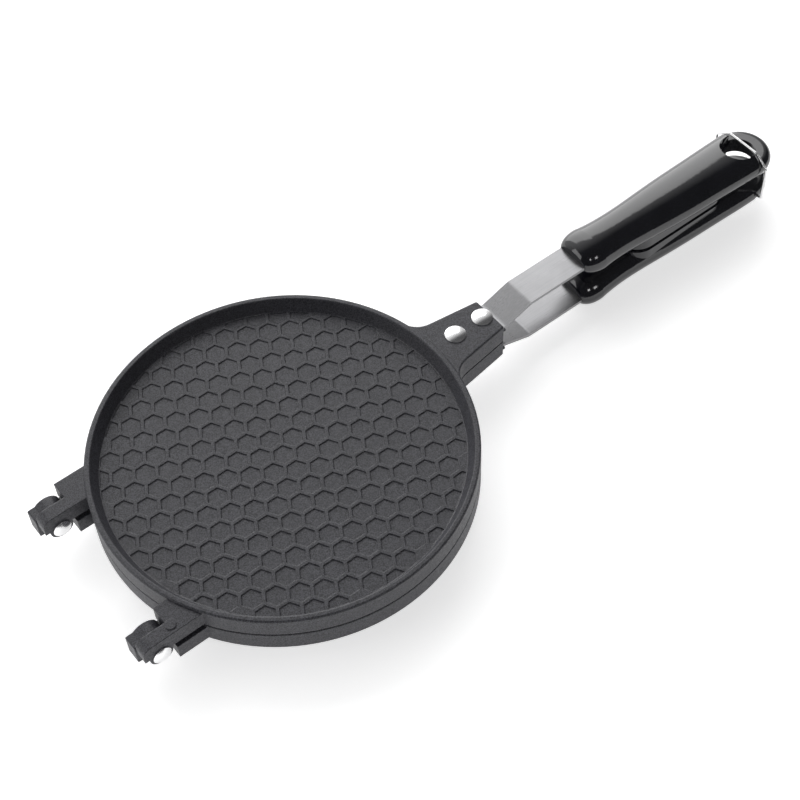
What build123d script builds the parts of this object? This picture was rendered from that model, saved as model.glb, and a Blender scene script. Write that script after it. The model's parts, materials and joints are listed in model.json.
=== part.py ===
from build123d import *
import math
import os

os.makedirs("parts", exist_ok=True)

# ---------------------------------------------------------------- dimensions
# Row frame: +X from the plate axis towards the grips, +Z up, the origin on
# the plate axis in the plane of the lower plate's underside rim.  All in mm.

MID_Z = 12.5              # plane where the two plates close on each other
MID = Plane.XY.offset(MID_Z)

# round cast plate
PLATE_R = 100.0
RIM_Z = 25.0              # rim land of the upper plate
RIM_INNER_R = 96.85       # inner edge of the rim land
FLOOR_R = 93.45           # foot of the sloping inner wall
GRID_Z = 18.2             # raised honeycomb grid on the outer floor
BAKE_Z = 13.5             # baking face, inside the closed pan
BAKE_R = 92.5
CLOSE_GAP = 0.05          # half of the parting gap between the plates
SLIT_HALF = 0.4           # half of the open slit round the outer edge

# honeycomb pockets
CELL_PITCH = 11.67
CELL_AF = 9.7             # across flats at the mouth
CELL_DEPTH = 0.5
CELL_LIMIT_R = 92.9

# handle tab of each plate
TAB_TOP_Z = 24.4
TAB_END_X = 136.3
TAB_HALF_END = 11.5
TAB_HALF_ROOT = 16.6      # half width where the sides reach x = 100
CHANNEL_HALF = 9.75
CHANNEL_TOP_Z = 21.05
CHANNEL_X0 = 103.0

# steel strap
STRAP_HALF = 9.5
STRAP_T = 2.0
STRAP_LOW_Z = 19.0        # underside inside the tab
STRAP_HIGH_Z = 25.0       # underside between tab and grip
STRAP_X0 = 104.5
BEND_X0 = 139.0
BEND_X1 = 156.3
TANG_X0 = 197.0
TANG_X1 = 232.0
TANG_HALF = 7.0
RIVET_X = (113.0, 131.2)
RIVET_Y = 0.8
TAB_GAP = 0.5             # half of the gap between the two tabs
NUB_R = 0.9               # small casting nubs on the tab's end face

# dome rivets
RIVET_SHANK_R = 2.5
RIVET_HOLE_R = 2.55
RIVET_HEAD_R = 5.7
RIVET_HEAD_H = 2.2
RIVET_EDGE_H = 0.5

# hinge
PIN_X = -109.3
PIN_R = 2.95
PIN_BORE_R = 3.0
HINGE_Y = (37.6, -53.0)   # near face of the upper arm of each hinge
ARM_W = 7.4
KNUCKLE_Y0 = 7.7          # lower knuckle, measured from the same face
KNUCKLE_Y1 = 15.6
LUG_W = 17.4
LUG_END_X = -101.2
LUG_TOP_Z = 23.5
LUG_LOW_Z = 13.8
ARM_END_X = -118.2
EYE_R = 6.4
PIN_HEAD_R = 5.0
PIN_EDGE_H = 0.6
PIN_DOME_H = 1.7
BARREL_R = 7.7

# grip
GRIP_X0 = 194.5
GRIP_STEP_X = 321.4
HANG_X = 319.6
HANG_R = 10.0
HANG_RIM_Z = 30.2         # height where the hole's wall starts to flare
NOSE_X = 322.2            # centre of the rounded end
NOSE_R = 17.0
NOSE_Z0 = 17.2
NOSE_Z1 = 27.0
PAD_Z = 13.1
# station x, half width, half height, centre height: bulb, then long body
BULB_STATIONS = (
    (194.5, 9.9, 5.2, 26.0),
    (197.5, 12.5, 8.3, 25.75),
    (200.5, 13.7, 9.6, 25.6),
    (203.5, 14.25, 10.15, 25.45),
    (206.5, 14.4, 10.3, 25.3),
)
BODY_STATIONS = (
    (206.5, 14.4, 10.3, 25.3),
    (225.75, 13.3, 9.8, 24.4),
    (245.0, 14.2, 10.0, 23.8),
    (264.25, 15.4, 10.15, 23.45),
    (283.5, 16.1, 10.2, 23.2),
    (302.75, 16.7, 10.1, 23.0),
    (322.0, 17.0, 9.9, 22.8),
)

# wire bail
WIRE_R = 0.8
BAIL_X = 322.6
BAIL_Z = 2.5              # pivot height, in the lower grip's nose
BAIL_TOP_Z = 31.6
BAIL_HALF = 19.4
BAIL_TOP_HALF = 10.6
BAIL_SHOULDER_Z = 25.0
BAIL_HOLE_R = 0.85
BAIL_END_Y = 13.6

# ---------------------------------------------------------------- shared plate
# Upper-side blank: disc with rim, honeycomb floor and handle tab.

with BuildPart() as disc_blank:
    with BuildSketch(Plane.XZ):
        with BuildLine():
            Polyline(
                (0, BAKE_Z), (BAKE_R, BAKE_Z),
                (BAKE_R + 0.8, MID_Z + CLOSE_GAP),
                (PLATE_R - 2.6, MID_Z + CLOSE_GAP),
                (PLATE_R - 2.6, MID_Z + SLIT_HALF),
                (PLATE_R - 0.4, MID_Z + SLIT_HALF),
                (PLATE_R, MID_Z + SLIT_HALF + 0.4),
                (PLATE_R, RIM_Z - 0.7), (PLATE_R - 0.7, RIM_Z),
                (RIM_INNER_R + 0.4, RIM_Z), (RIM_INNER_R, RIM_Z - 0.4),
                (FLOOR_R, GRID_Z), (0, GRID_Z), (0, BAKE_Z),
            )
        make_face()
    revolve(axis=Axis.Z, revolution_arc=360)

row_step = CELL_PITCH * math.sqrt(3) / 2
cell_points = []
for i in range(-9, 10):
    for j in range(-9, 10):
        cx = i * row_step
        cy = (j + 0.5 * (i % 2)) * CELL_PITCH
        if math.hypot(cx, cy) < CELL_LIMIT_R + 2.6:
            cell_points.append((cx, cy))

with BuildPart() as cells:
    with BuildSketch(Plane.XY.offset(GRID_Z - CELL_DEPTH)):
        with Locations(*cell_points):
            RegularPolygon(CELL_AF / 2, 6, major_radius=False)
        Circle(CELL_LIMIT_R, mode=Mode.INTERSECT)
    extrude(amount=CELL_DEPTH + 0.5)

with BuildPart() as tab_blank:
    # handle tab, flared into the rim
    with BuildSketch(Plane.XY.offset(MID_Z + TAB_GAP)) as tab_outline:
        Circle(PLATE_R)
        with BuildLine():
            Polyline(
                (90.0, -TAB_HALF_ROOT - 1.4), (TAB_END_X, -TAB_HALF_END),
                (TAB_END_X, TAB_HALF_END), (90.0, TAB_HALF_ROOT + 1.4),
                (90.0, -TAB_HALF_ROOT - 1.4),
            )
        make_face()
        roots = tab_outline.vertices().filter_by(
            lambda v: 95 < v.X < 100 and abs(v.Y) > 10)
        fillet(roots, radius=12.0)
        corners = tab_outline.vertices().filter_by(
            lambda v: v.X > TAB_END_X - 0.1)
        fillet(corners, radius=1.2)
        with Locations((-40, 0)):
            Rectangle(268, 230, mode=Mode.SUBTRACT)
    extrude(amount=TAB_TOP_Z - MID_Z - TAB_GAP)
    tab_rim = tab_blank.edges().filter_by(
        lambda e: abs(e.center().Z - TAB_TOP_Z) < 0.01
        and e.center().X > 94.5)
    fillet(tab_rim, radius=1.0)
    with Locations((0, 0, MID_Z)):
        Cylinder(PLATE_R - 2.2, 60, mode=Mode.SUBTRACT)
    with BuildSketch(Plane.YZ.offset(TAB_END_X - 1)):
        with Locations((-TAB_HALF_END + 1.1, CHANNEL_TOP_Z - 0.9),
                       (TAB_HALF_END - 1.1, CHANNEL_TOP_Z - 0.9)):
            Circle(NUB_R)
    extrude(amount=2.3)

with BuildPart() as plate_blank:
    add(disc_blank.part)
    add(tab_blank.part)
    # channel for the strap, open at the end
    with BuildSketch(Plane.XY.offset(MID_Z)):
        with Locations(((CHANNEL_X0 + TAB_END_X + 5) / 2, 0)):
            Rectangle(TAB_END_X + 5 - CHANNEL_X0, 2 * CHANNEL_HALF)
    extrude(amount=CHANNEL_TOP_Z - MID_Z, mode=Mode.SUBTRACT)
    with BuildSketch(Plane.XY.offset(CHANNEL_TOP_Z - 1)):
        with Locations(*[(x, RIVET_Y) for x in RIVET_X]):
            Circle(RIVET_HOLE_R)
    extrude(amount=6, mode=Mode.SUBTRACT)

# ---------------------------------------------------------------- upper plate

with BuildPart() as upper_plate:
    add(plate_blank.part)
    for y0 in HINGE_Y:
        # lug reaching back under the rim
        with BuildSketch(Plane.XY.offset(LUG_LOW_Z)):
            with Locations(((LUG_END_X - 70) / 2, y0 + LUG_W / 2)):
                Rectangle(-70 - LUG_END_X, LUG_W)
            Circle(PLATE_R - 2.2, mode=Mode.SUBTRACT)
        extrude(amount=LUG_TOP_Z - LUG_LOW_Z)
        # arm over the pin
        with BuildSketch(Plane.XZ.offset(-y0 - ARM_W)) as arm_side:
            with Locations(((LUG_END_X + 2 + ARM_END_X) / 2,
                            (LUG_LOW_Z + LUG_TOP_Z) / 2)):
                Rectangle(LUG_END_X + 2 - ARM_END_X, LUG_TOP_Z - LUG_LOW_Z)
            fillet(arm_side.vertices().filter_by(
                lambda v: v.X < ARM_END_X + 1 and v.Y > 20), radius=4.8)
            with Locations((PIN_X, MID_Z)):
                Circle(EYE_R)
        extrude(amount=ARM_W)
        # bore for the hinge pin
        with BuildSketch(Plane.XZ.offset(-y0 - ARM_W - 1)):
            with Locations((PIN_X, MID_Z)):
                Circle(PIN_BORE_R)
        extrude(amount=ARM_W + 2, mode=Mode.SUBTRACT)
    # round casting mark on one lug
    with BuildSketch(Plane.XY.offset(LUG_TOP_Z)):
        with Locations((-99.6, -48.2)):
            Circle(2.9)
    extrude(amount=0.35)
    add(cells.part, mode=Mode.SUBTRACT)
upper_plate.part.label = "upper_plate"
export_step(upper_plate.part, "parts/upper_plate.step")

# ---------------------------------------------------------------- lower plate

with BuildPart() as lower_cells:
    add(cells.part)
    mirror(about=MID, mode=Mode.REPLACE)

with BuildPart() as lower_plate:
    add(plate_blank.part)
    mirror(about=MID, mode=Mode.REPLACE)
    for y0 in HINGE_Y:
        with BuildSketch(Plane.XY.offset(2 * MID_Z - LUG_TOP_Z)):
            with Locations(((LUG_END_X - 70) / 2, y0 + LUG_W / 2 - 0.4)):
                Rectangle(-70 - LUG_END_X, LUG_W + 0.8)
            Circle(PLATE_R - 2.2, mode=Mode.SUBTRACT)
        extrude(amount=LUG_TOP_Z - LUG_LOW_Z)
        # knuckle with rounded top and the opening stop behind it
        with BuildSketch(Plane.XZ.offset(-y0 - KNUCKLE_Y1)) as knuckle_side:
            with Locations((PIN_X, MID_Z)):
                Circle(BARREL_R)
            with BuildLine():
                Polyline(
                    (PIN_X, MID_Z - BARREL_R), (LUG_END_X + 2, MID_Z - 9),
                    (LUG_END_X + 2, MID_Z - 1.3), (PIN_X, MID_Z - 1.3),
                    (PIN_X, MID_Z - BARREL_R),
                )
            make_face()
            with Locations((-116.2, 11.2)):
                RectangleRounded(5.6, 13.6, 0.9)
        extrude(amount=KNUCKLE_Y1 - KNUCKLE_Y0)
        with BuildSketch(Plane.XZ.offset(-y0 - KNUCKLE_Y1 - 1)):
            with Locations((PIN_X, MID_Z)):
                Circle(PIN_BORE_R)
        extrude(amount=KNUCKLE_Y1 - KNUCKLE_Y0 + 2, mode=Mode.SUBTRACT)
    add(lower_cells.part, mode=Mode.SUBTRACT)
lower_plate.part.label = "lower_plate"
export_step(lower_plate.part, "parts/lower_plate.step")

# ---------------------------------------------------------------- hinge pins

cap_r = (PIN_HEAD_R ** 2 + PIN_DOME_H ** 2) / (2 * PIN_DOME_H)
cap_mid_y = -(PIN_EDGE_H + PIN_DOME_H - cap_r
              + math.sqrt(cap_r ** 2 - (PIN_HEAD_R / 2) ** 2))

for pin_name, y0 in (("hinge_pin_left", HINGE_Y[0]),
                     ("hinge_pin_right", HINGE_Y[1])):
    with BuildPart() as hinge_pin:
        with BuildSketch(Plane.XZ.offset(-y0 - KNUCKLE_Y1 - 1.4)):
            with Locations((PIN_X, MID_Z)):
                Circle(PIN_R)
        extrude(amount=KNUCKLE_Y1 + 1.4 + 0.5)
        # domed head on the near side
        with BuildSketch(Plane(origin=(PIN_X, y0 - 0.1, MID_Z),
                               x_dir=(1, 0, 0), z_dir=(0, 0, 1))):
            with BuildLine():
                Polyline((0, 0), (PIN_HEAD_R, 0), (PIN_HEAD_R, -PIN_EDGE_H))
                ThreePointArc((PIN_HEAD_R, -PIN_EDGE_H),
                              (PIN_HEAD_R / 2, cap_mid_y),
                              (0, -PIN_EDGE_H - PIN_DOME_H))
                Line((0, -PIN_EDGE_H - PIN_DOME_H), (0, 0))
            make_face()
        revolve(axis=Axis((PIN_X, y0, MID_Z), (0, 1, 0)), revolution_arc=360)
        # peened end
        with BuildSketch(Plane.XZ.offset(-y0 - KNUCKLE_Y1 - 1.5)):
            with Locations((PIN_X, MID_Z)):
                Circle(4.3)
        extrude(amount=1.4)
    hinge_pin.part.label = pin_name
    export_step(hinge_pin.part, "parts/" + pin_name + ".step")

# ---------------------------------------------------------------- straps

with BuildPart() as upper_strap:
    with BuildSketch(Plane.XZ.offset(-STRAP_HALF)) as strap_side:
        with BuildLine():
            Polyline(
                (STRAP_X0, STRAP_LOW_Z), (BEND_X0 + 0.6, STRAP_LOW_Z),
                (BEND_X1 + 0.6, STRAP_HIGH_Z), (TANG_X1, STRAP_HIGH_Z),
                (TANG_X1, STRAP_HIGH_Z + STRAP_T),
                (BEND_X1, STRAP_HIGH_Z + STRAP_T),
                (BEND_X0, STRAP_LOW_Z + STRAP_T),
                (STRAP_X0, STRAP_LOW_Z + STRAP_T), (STRAP_X0, STRAP_LOW_Z),
            )
        make_face()
        fillet(strap_side.vertices().filter_by(
            lambda v: BEND_X0 - 1 < v.X < BEND_X1 + 2), radius=5.0)
    extrude(amount=2 * STRAP_HALF)
    # narrower tang inside the grip
    with BuildSketch(Plane.XY.offset(STRAP_HIGH_Z - 1)):
        with Locations(((TANG_X0 + TANG_X1) / 2 + 1, STRAP_HALF),
                       ((TANG_X0 + TANG_X1) / 2 + 1, -STRAP_HALF)):
            Rectangle(TANG_X1 - TANG_X0 + 2, 2 * (STRAP_HALF - TANG_HALF))
    extrude(amount=STRAP_T + 2, mode=Mode.SUBTRACT)
    with BuildSketch(Plane.XY.offset(STRAP_LOW_Z - 1)):
        with Locations(*[(x, RIVET_Y) for x in RIVET_X]):
            Circle(RIVET_HOLE_R)
    extrude(amount=STRAP_T + 2, mode=Mode.SUBTRACT)
upper_strap.part.label = "upper_strap"
export_step(upper_strap.part, "parts/upper_strap.step")

with BuildPart() as lower_strap:
    add(upper_strap.part)
    mirror(about=MID, mode=Mode.REPLACE)
lower_strap.part.label = "lower_strap"
export_step(lower_strap.part, "parts/lower_strap.step")

# ---------------------------------------------------------------- tab rivets

dome_h = RIVET_HEAD_H - RIVET_EDGE_H
dome_r = (RIVET_HEAD_R ** 2 + dome_h ** 2) / (2 * dome_h)
dome_mid_z = (TAB_TOP_Z + RIVET_HEAD_H - dome_r
              + math.sqrt(dome_r ** 2 - (RIVET_HEAD_R / 2) ** 2))

for i, rivet_x in enumerate(RIVET_X):
    with BuildPart() as rivet:
        with BuildSketch(Plane.XZ):
            with BuildLine():
                Polyline(
                    (0, 17.7), (4.0, 17.7), (4.3, 18.0), (4.3, STRAP_LOW_Z),
                    (RIVET_SHANK_R, STRAP_LOW_Z), (RIVET_SHANK_R, TAB_TOP_Z),
                    (RIVET_HEAD_R, TAB_TOP_Z),
                    (RIVET_HEAD_R, TAB_TOP_Z + RIVET_EDGE_H),
                )
                ThreePointArc(
                    (RIVET_HEAD_R, TAB_TOP_Z + RIVET_EDGE_H),
                    (RIVET_HEAD_R / 2, dome_mid_z),
                    (0, TAB_TOP_Z + RIVET_HEAD_H))
                Line((0, TAB_TOP_Z + RIVET_HEAD_H), (0, 17.7))
            make_face()
        revolve(axis=Axis.Z, revolution_arc=360)
    with BuildPart() as upper_rivet:
        with Locations((rivet_x, RIVET_Y, 0)):
            add(rivet.part)
    upper_rivet.part.label = "upper_rivet_%d" % (i + 1)
    export_step(upper_rivet.part, "parts/upper_rivet_%d.step" % (i + 1))
    with BuildPart() as lower_rivet:
        add(upper_rivet.part)
        mirror(about=MID, mode=Mode.REPLACE)
    lower_rivet.part.label = "lower_rivet_%d" % (i + 1)
    export_step(lower_rivet.part, "parts/lower_rivet_%d.step" % (i + 1))

# ---------------------------------------------------------------- grips

with BuildPart() as nose_blank:
    # round end of the grip, lower than its body, with rounded rims
    with BuildSketch(Plane.XZ) as nose_profile:
        with Locations((NOSE_X + NOSE_R / 2, (NOSE_Z0 + NOSE_Z1) / 2)):
            Rectangle(NOSE_R, NOSE_Z1 - NOSE_Z0)
        fillet(nose_profile.vertices().filter_by(
            lambda v: v.X > NOSE_X + 1), radius=4.6)
    revolve(axis=Axis((NOSE_X, 0, 0), (0, 0, 1)), revolution_arc=360)
    with Locations((GRIP_STEP_X - 0.6 - 20, 0, MID_Z)):
        Box(40, 60, 60, mode=Mode.SUBTRACT)

with BuildPart() as bulb_blank:
    for x, half_w, half_h, centre_z in BULB_STATIONS:
        with BuildSketch(Plane(origin=(x, 0, centre_z), x_dir=(0, 1, 0),
                               z_dir=(1, 0, 0))):
            Ellipse(half_w, half_h)
    loft()

with BuildPart() as grip_blank:
    for x, half_w, half_h, centre_z in BODY_STATIONS:
        with BuildSketch(Plane(origin=(x, 0, centre_z), x_dir=(0, 1, 0),
                               z_dir=(1, 0, 0))):
            Ellipse(half_w, half_h)
    loft()
    add(bulb_blank.part)
    # flat inner pad with long round ends and a stepped edge
    with BuildSketch(Plane.XY.offset(PAD_Z + 0.7)):
        with Locations((266.0, 0)):
            SlotOverall(74.0, 26.0)
    extrude(amount=7.5)
    with BuildSketch(Plane.XY.offset(PAD_Z)):
        with Locations((266.0, 0)):
            SlotOverall(72.4, 24.4)
    extrude(amount=2.0)
    # square end behind the hanging hole
    with BuildSketch(Plane.XY.offset(0)):
        with Locations((GRIP_STEP_X + 10, 0)):
            Rectangle(20, 60)
    extrude(amount=60, mode=Mode.SUBTRACT)
    add(nose_blank.part)
    # hanging hole
    with BuildSketch(Plane.XY.offset(0)):
        with Locations((HANG_X, 0)):
            Circle(HANG_R)
    extrude(amount=60, mode=Mode.SUBTRACT)
    # flared rim of the hanging hole
    with BuildSketch(Plane.XZ):
        with BuildLine():
            Polyline(
                (HANG_X, HANG_RIM_Z), (HANG_X + HANG_R, HANG_RIM_Z),
                (HANG_X + HANG_R + 3.5, HANG_RIM_Z + 5.0),
                (HANG_X, HANG_RIM_Z + 5.0), (HANG_X, HANG_RIM_Z),
            )
        make_face()
    revolve(axis=Axis((HANG_X, 0, 0), (0, 0, 1)), revolution_arc=360,
            mode=Mode.SUBTRACT)
    # slot for the tang and the strap's end
    with BuildSketch(Plane.XY.offset(STRAP_HIGH_Z - 0.05)):
        with Locations(((GRIP_X0 + TANG_X1) / 2, 0)):
            Rectangle(TANG_X1 - GRIP_X0 + 0.2, 2 * TANG_HALF + 0.1)
        with Locations(((GRIP_X0 + TANG_X0) / 2 - 1, 0)):
            Rectangle(TANG_X0 - GRIP_X0 + 2.2, 2 * STRAP_HALF + 0.1)
    extrude(amount=STRAP_T + 0.1, mode=Mode.SUBTRACT)

with BuildPart() as upper_grip:
    add(grip_blank.part)
upper_grip.part.label = "upper_grip"
export_step(upper_grip.part, "parts/upper_grip.step")

with BuildPart() as lower_grip:
    add(grip_blank.part)
    mirror(about=MID, mode=Mode.REPLACE)
    # blind side holes for the bail ends
    for side in (-1, 1):
        with BuildSketch(Plane(origin=(BAIL_X, side * 13.0, BAIL_Z),
                               x_dir=(1, 0, 0), z_dir=(0, side, 0))):
            Circle(BAIL_HOLE_R)
        extrude(amount=6, mode=Mode.SUBTRACT)
lower_grip.part.label = "lower_grip"
export_step(lower_grip.part, "parts/lower_grip.step")

# ---------------------------------------------------------------- wire bail

with BuildPart() as wire_bail:
    with BuildLine(Plane.YZ.offset(BAIL_X)) as bail_path:
        FilletPolyline(
            (BAIL_END_Y, BAIL_Z), (BAIL_HALF, BAIL_Z),
            (BAIL_HALF, BAIL_SHOULDER_Z), (BAIL_TOP_HALF, BAIL_TOP_Z),
            (-BAIL_TOP_HALF, BAIL_TOP_Z), (-BAIL_HALF, BAIL_SHOULDER_Z),
            (-BAIL_HALF, BAIL_Z), (-BAIL_END_Y, BAIL_Z),
            radius=(1.2, 2.5, 2.5, 2.5, 2.5, 1.2),
        )
    with BuildSketch(Plane(origin=(BAIL_X, BAIL_END_Y, BAIL_Z),
                           x_dir=(1, 0, 0), z_dir=(0, 1, 0))):
        Circle(WIRE_R)
    sweep(path=bail_path.wire())
wire_bail.part.label = "wire_bail"
export_step(wire_bail.part, "parts/wire_bail.step")
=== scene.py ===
import bpy
import json
import math
from mathutils import Matrix, Vector


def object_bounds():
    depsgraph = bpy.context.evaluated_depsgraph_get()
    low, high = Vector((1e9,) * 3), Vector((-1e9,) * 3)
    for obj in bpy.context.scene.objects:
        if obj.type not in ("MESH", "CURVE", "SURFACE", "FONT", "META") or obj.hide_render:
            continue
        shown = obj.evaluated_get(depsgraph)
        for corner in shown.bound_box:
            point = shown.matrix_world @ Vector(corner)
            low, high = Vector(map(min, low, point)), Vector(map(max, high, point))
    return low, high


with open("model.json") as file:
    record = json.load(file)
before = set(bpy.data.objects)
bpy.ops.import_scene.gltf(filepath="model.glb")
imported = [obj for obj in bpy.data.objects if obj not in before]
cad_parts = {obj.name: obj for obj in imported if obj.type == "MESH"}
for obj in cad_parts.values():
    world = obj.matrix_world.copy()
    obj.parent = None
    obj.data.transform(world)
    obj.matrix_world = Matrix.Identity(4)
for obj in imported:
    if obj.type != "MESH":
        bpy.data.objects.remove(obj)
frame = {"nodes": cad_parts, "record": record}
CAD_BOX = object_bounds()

scene = bpy.context.scene
nodes = frame["nodes"]


# ------------------------------------------------------------------ node help
class Mat:
    """A small wrapper that keeps node trees readable."""

    def __init__(self, name):
        self.m = bpy.data.materials.new(name)
        self.m.use_nodes = True
        self.t = self.m.node_tree
        self.t.nodes.clear()
        self.out = self.n("ShaderNodeOutputMaterial")
        self.b = self.n("ShaderNodeBsdfPrincipled")
        self.t.links.new(self.b.outputs["BSDF"], self.out.inputs["Surface"])
        self.tc = self.n("ShaderNodeTexCoord")

    def n(self, kind, **kw):
        node = self.t.nodes.new(kind)
        for k, v in kw.items():
            setattr(node, k, v)
        return node

    def link(self, a, b):
        self.t.links.new(a, b)

    def set(self, **kw):
        for k, v in kw.items():
            self.b.inputs[k.replace("_", " ")].default_value = v

    def mapping(self, scale=(1, 1, 1), rot=(0, 0, 0), loc=(0, 0, 0)):
        mp = self.n("ShaderNodeMapping")
        self.link(self.tc.outputs["Object"], mp.inputs["Vector"])
        mp.inputs["Scale"].default_value = scale
        mp.inputs["Rotation"].default_value = rot
        mp.inputs["Location"].default_value = loc
        return mp.outputs["Vector"]

    def noise(self, scale, detail=2.0, rough=0.5, vec=None, dim="3D"):
        nz = self.n("ShaderNodeTexNoise", noise_dimensions=dim)
        nz.inputs["Scale"].default_value = scale
        nz.inputs["Detail"].default_value = detail
        nz.inputs["Roughness"].default_value = rough
        self.link(vec or self.tc.outputs["Object"], nz.inputs["Vector"])
        return nz.outputs["Fac"]

    def voronoi(self, scale, vec=None, feature="F1", out="Distance"):
        v = self.n("ShaderNodeTexVoronoi", feature=feature)
        v.inputs["Scale"].default_value = scale
        self.link(vec or self.tc.outputs["Object"], v.inputs["Vector"])
        return v.outputs[out]

    def ramp(self, fac, stops, interp="LINEAR"):
        r = self.n("ShaderNodeValToRGB")
        r.color_ramp.interpolation = interp
        e = r.color_ramp.elements
        while len(e) < len(stops):
            e.new(0.5)
        for el, (p, c) in zip(e, stops):
            el.position = p
            el.color = c if len(c) == 4 else (*c, 1.0)
        self.link(fac, r.inputs["Fac"])
        return r.outputs["Color"]

    def rng(self, fac, a, b, c, d):
        r = self.n("ShaderNodeMapRange")
        r.inputs["From Min"].default_value = a
        r.inputs["From Max"].default_value = b
        r.inputs["To Min"].default_value = c
        r.inputs["To Max"].default_value = d
        self.link(fac, r.inputs["Value"])
        return r.outputs["Result"]

    def math(self, op, a, b):
        mnode = self.n("ShaderNodeMath", operation=op)
        for i, v in enumerate((a, b)):
            if isinstance(v, (int, float)):
                mnode.inputs[i].default_value = v
            else:
                self.link(v, mnode.inputs[i])
        return mnode.outputs[0]

    def mix(self, fac, a, b, blend="MIX"):
        mx = self.n("ShaderNodeMix", data_type="RGBA", blend_type=blend)
        for sock, v in ((mx.inputs[0], fac), (mx.inputs[6], a), (mx.inputs[7], b)):
            if isinstance(v, (int, float)):
                sock.default_value = v
            elif isinstance(v, tuple):
                sock.default_value = v if len(v) == 4 else (*v, 1.0)
            else:
                self.link(v, sock)
        return mx.outputs[2]

    def bump(self, height, strength, distance, normal=None):
        bp = self.n("ShaderNodeBump")
        bp.inputs["Strength"].default_value = strength
        bp.inputs["Distance"].default_value = distance
        self.link(height, bp.inputs["Height"])
        if normal is not None:
            self.link(normal, bp.inputs["Normal"])
        return bp.outputs["Normal"]


def coated_cast():
    m = Mat("coated_aluminium")
    grain = m.noise(1500.0, 3.0, 0.65)
    speck = m.voronoi(1100.0)
    cloud = m.noise(30.0, 3.0, 0.55)
    base = m.ramp(grain, [(0.39, (0.0160, 0.0160, 0.0195)), (0.61, (0.076, 0.076, 0.0890))])
    tint = m.mix(m.rng(cloud, 0.3, 0.7, 0.0, 0.3), base, (0.036, 0.036, 0.0405))
    dots = m.ramp(speck, [(0.06, (1, 1, 1)), (0.19, (0, 0, 0))])
    colour = m.mix(m.math("MULTIPLY", dots, 0.60), tint, (0.16, 0.16, 0.17))
    # edges rubbed slightly lighter, from the difference of the bevelled normal
    bev = m.n("ShaderNodeBevel", samples=6)
    bev.inputs["Radius"].default_value = 0.0007
    geo = m.n("ShaderNodeNewGeometry")
    dp = m.n("ShaderNodeVectorMath", operation="DOT_PRODUCT")
    m.link(bev.outputs["Normal"], dp.inputs[0])
    m.link(geo.outputs["Normal"], dp.inputs[1])
    edge = m.rng(dp.outputs["Value"], 0.945, 0.993, 1.0, 0.0)
    worn = m.math("MULTIPLY", edge, m.rng(m.noise(240.0, 3.0, 0.7), 0.42, 0.62, 0.0, 0.40))
    colour = m.mix(worn, colour, (0.062, 0.062, 0.066))
    m.link(colour, m.b.inputs["Base Color"])
    rough = m.rng(m.noise(600.0, 3.0, 0.6), 0.3, 0.7, 0.42, 0.58)
    rubbed = m.math("MULTIPLY", edge, 0.30)
    m.link(m.math("SUBTRACT", rough, rubbed), m.b.inputs["Roughness"])
    nb = m.bump(grain, 0.45, 0.00016, bev.outputs["Normal"])
    nb = m.bump(m.noise(420.0, 2.0, 0.5), 0.22, 0.0003, nb)
    m.link(nb, m.b.inputs["Normal"])
    m.set(Metallic=0.0, Specular_IOR_Level=0.42)
    return m.m


def brushed_steel():
    m = Mat("brushed_steel")
    fine = m.noise(1.0, 4.0, 0.65, m.mapping(scale=(22.0, 2600.0, 1800.0)))
    wide = m.noise(1.0, 3.0, 0.5, m.mapping(scale=(9.0, 420.0, 300.0)))
    stain = m.noise(55.0, 3.0, 0.6)
    colour = m.ramp(fine, [(0.30, (0.225, 0.225, 0.231)), (0.70, (0.30, 0.30, 0.307))])
    colour = m.mix(m.rng(stain, 0.35, 0.8, 0.0, 0.22), colour, (0.205, 0.204, 0.206))
    m.link(colour, m.b.inputs["Base Color"])
    m.link(m.math("ADD", m.rng(fine, 0.3, 0.7, 0.24, 0.36),
                  m.rng(stain, 0.3, 0.8, 0.0, 0.07)), m.b.inputs["Roughness"])
    nb = m.bump(fine, 0.10, 0.00004)
    nb = m.bump(wide, 0.05, 0.0001, nb)
    m.link(nb, m.b.inputs["Normal"])
    m.set(Metallic=1.0)
    return m.m


def bakelite():
    m = Mat("black_bakelite")
    peel = m.noise(260.0, 2.0, 0.5)
    wear = m.noise(1.0, 4.0, 0.7, m.mapping(scale=(60.0, 900.0, 900.0)))
    haze = m.noise(70.0, 3.0, 0.6)
    colour = m.ramp(haze, [(0.3, (0.006, 0.0062, 0.0085)), (0.75, (0.011, 0.0115, 0.0150))])
    m.link(colour, m.b.inputs["Base Color"])
    m.link(m.math("ADD", m.rng(wear, 0.45, 0.75, 0.09, 0.15),
                  m.rng(haze, 0.4, 0.8, 0.0, 0.05)), m.b.inputs["Roughness"])
    m.link(m.bump(peel, 0.05, 0.0002), m.b.inputs["Normal"])
    m.set(Metallic=0.0, Specular_IOR_Level=0.72)
    return m.m


def rivet_metal():
    m = Mat("rivet_metal")
    turned = m.noise(1900.0, 2.0, 0.6)
    soil = m.noise(260.0, 3.0, 0.6)
    colour = m.ramp(soil, [(0.3, (0.86, 0.86, 0.865)), (0.65, (0.95, 0.95, 0.955))])
    m.link(colour, m.b.inputs["Base Color"])
    m.link(m.rng(turned, 0.3, 0.7, 0.19, 0.27), m.b.inputs["Roughness"])
    m.link(m.bump(turned, 0.05, 0.00003), m.b.inputs["Normal"])
    m.set(Metallic=1.0)
    return m.m


def bail_wire():
    m = Mat("bail_wire")
    draw = m.noise(700.0, 2.0, 0.5)
    colour = m.ramp(draw, [(0.3, (0.66, 0.66, 0.665)), (0.7, (0.82, 0.82, 0.82))])
    m.link(colour, m.b.inputs["Base Color"])
    m.link(m.rng(draw, 0.3, 0.7, 0.12, 0.22), m.b.inputs["Roughness"])
    m.link(m.bump(draw, 0.05, 0.00003), m.b.inputs["Normal"])
    m.set(Metallic=1.0)
    return m.m


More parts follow.
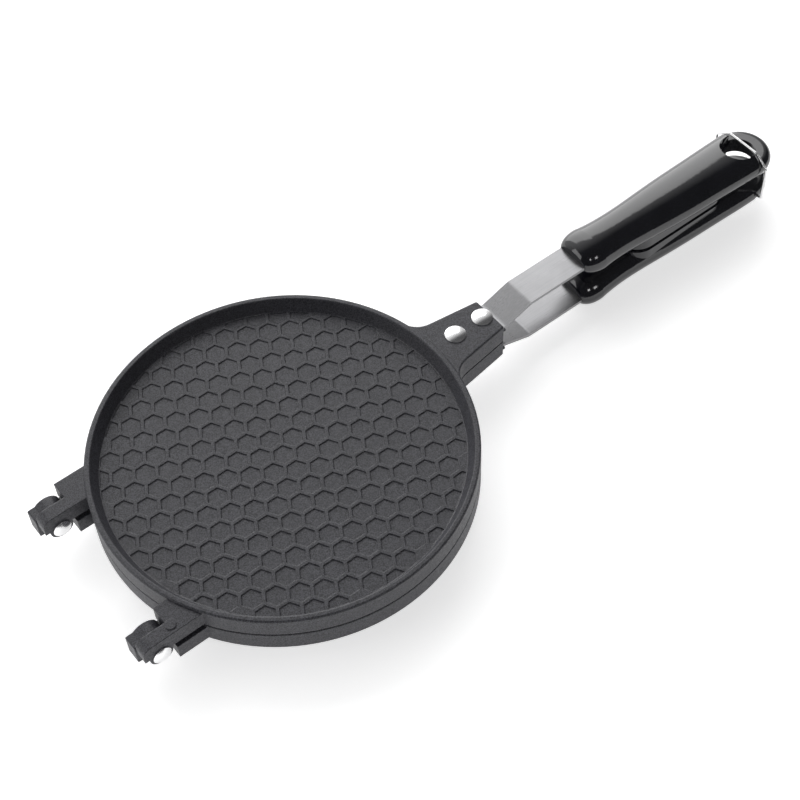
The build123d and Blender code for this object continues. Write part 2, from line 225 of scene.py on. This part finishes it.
MATS = {
    "coated_aluminium": coated_cast(),
    "brushed_steel": brushed_steel(),
    "black_bakelite": bakelite(),
    "rivet_metal": rivet_metal(),
    "bail_wire": bail_wire(),
}
SLOT_OF = {s["node"]: s["material_slot"] for s in frame["record"]["subparts"]}
for name, obj in nodes.items():
    obj.data.materials.clear()
    obj.data.materials.append(MATS[SLOT_OF[name]])

# ------------------------------------------------------------------ stage
low, high = CAD_BOX
floor_z = min(low[2], 0.0)
mesh = bpy.data.meshes.new("floor")
mesh.from_pydata([(-6, -6, 0), (6, -6, 0), (6, 6, 0), (-6, 6, 0)], [], [(0, 1, 2, 3)])
floor = bpy.data.objects.new("floor", mesh)
floor.location = (0, 0, floor_z - 0.0005)
scene.collection.objects.link(floor)
fm = Mat("floor_paper")
fm.link(fm.ramp(fm.noise(14.0, 3.0, 0.5), [(0.3, (0.945, 0.945, 0.945)), (0.7, (0.965, 0.965, 0.965))]),
        fm.b.inputs["Base Color"])
fm.set(Roughness=0.75, Specular_IOR_Level=0.2, Emission_Color=(1, 1, 1, 1),
       Emission_Strength=0.60)
floor.data.materials.append(fm.m)

world = bpy.data.worlds.new("studio")
world.use_nodes = True
wt = world.node_tree
bg = wt.nodes["Background"]
wtc = wt.nodes.new("ShaderNodeTexCoord")
wsep = wt.nodes.new("ShaderNodeVectorMath")
wsep.operation = "DOT_PRODUCT"
wsep.inputs[1].default_value = Vector((0.10, 0.93, 0.35)).normalized()
wt.links.new(wtc.outputs["Generated"], wsep.inputs[0])
wramp = wt.nodes.new("ShaderNodeValToRGB")
wel = wramp.color_ramp.elements
wel[0].position = 0.30
wel[0].color = (0.07, 0.07, 0.072, 1)
wel[1].position = 0.80
wel[1].color = (1.0, 1.0, 1.0, 1)
wt.links.new(wsep.outputs["Value"], wramp.inputs["Fac"])
# seen directly, the studio is plain white; it lights the pan as graded above
wlp = wt.nodes.new("ShaderNodeLightPath")
wmix = wt.nodes.new("ShaderNodeMix")
wmix.data_type = "RGBA"
wmix.inputs[7].default_value = (1.0, 1.0, 1.0, 1.0)
wt.links.new(wlp.outputs["Is Camera Ray"], wmix.inputs[0])
wt.links.new(wramp.outputs["Color"], wmix.inputs[6])
wt.links.new(wmix.outputs[2], bg.inputs["Color"])
bg.inputs["Strength"].default_value = 1.0
scene.world = world


def area(name, loc, target, size, power, size_y=None):
    data = bpy.data.lights.new(name, "AREA")
    data.shape = "RECTANGLE"
    data.size = size
    data.size_y = size_y or size
    data.energy = power
    ob = bpy.data.objects.new(name, data)
    ob.location = loc
    ob.rotation_euler = (Vector(target) - Vector(loc)).to_track_quat("-Z", "Y").to_euler()
    scene.collection.objects.link(ob)
    return ob


area("key_back", (0.95, 2.2, 1.20), (0.08, 0, 0), 2.9, 56, 3.0)
area("side_left", (-1.9, 0.7, 0.9), (0.05, 0, 0), 1.2, 9)
area("small_front", (-0.42, -1.20, 1.20), (0.15, 0, 0), 0.26, 1.7)
area("small_front_2", (0.42, -1.30, 1.05), (0.15, 0, 0), 0.30, 1.7)

# ------------------------------------------------------------------ camera
cam_data = bpy.data.cameras.new("camera")
cam_data.sensor_width = 36.0
cam_data.lens = 75.133
cam_data.shift_x = 0.0006
cam_data.shift_y = -0.0014
cam = bpy.data.objects.new("camera", cam_data)
right = Vector((0.78665, -0.61656, -0.03230))
down = Vector((-0.51146, -0.62146, -0.59346))
fwd = Vector((0.34583, 0.48336, -0.80422))
rot = Matrix((right, -down, -fwd)).transposed().to_4x4()
cam.matrix_world = Matrix.Translation((-0.23167, -0.42722, 0.71258)) @ rot
scene.collection.objects.link(cam)
scene.camera = cam
scene.view_settings.view_transform = "Standard"
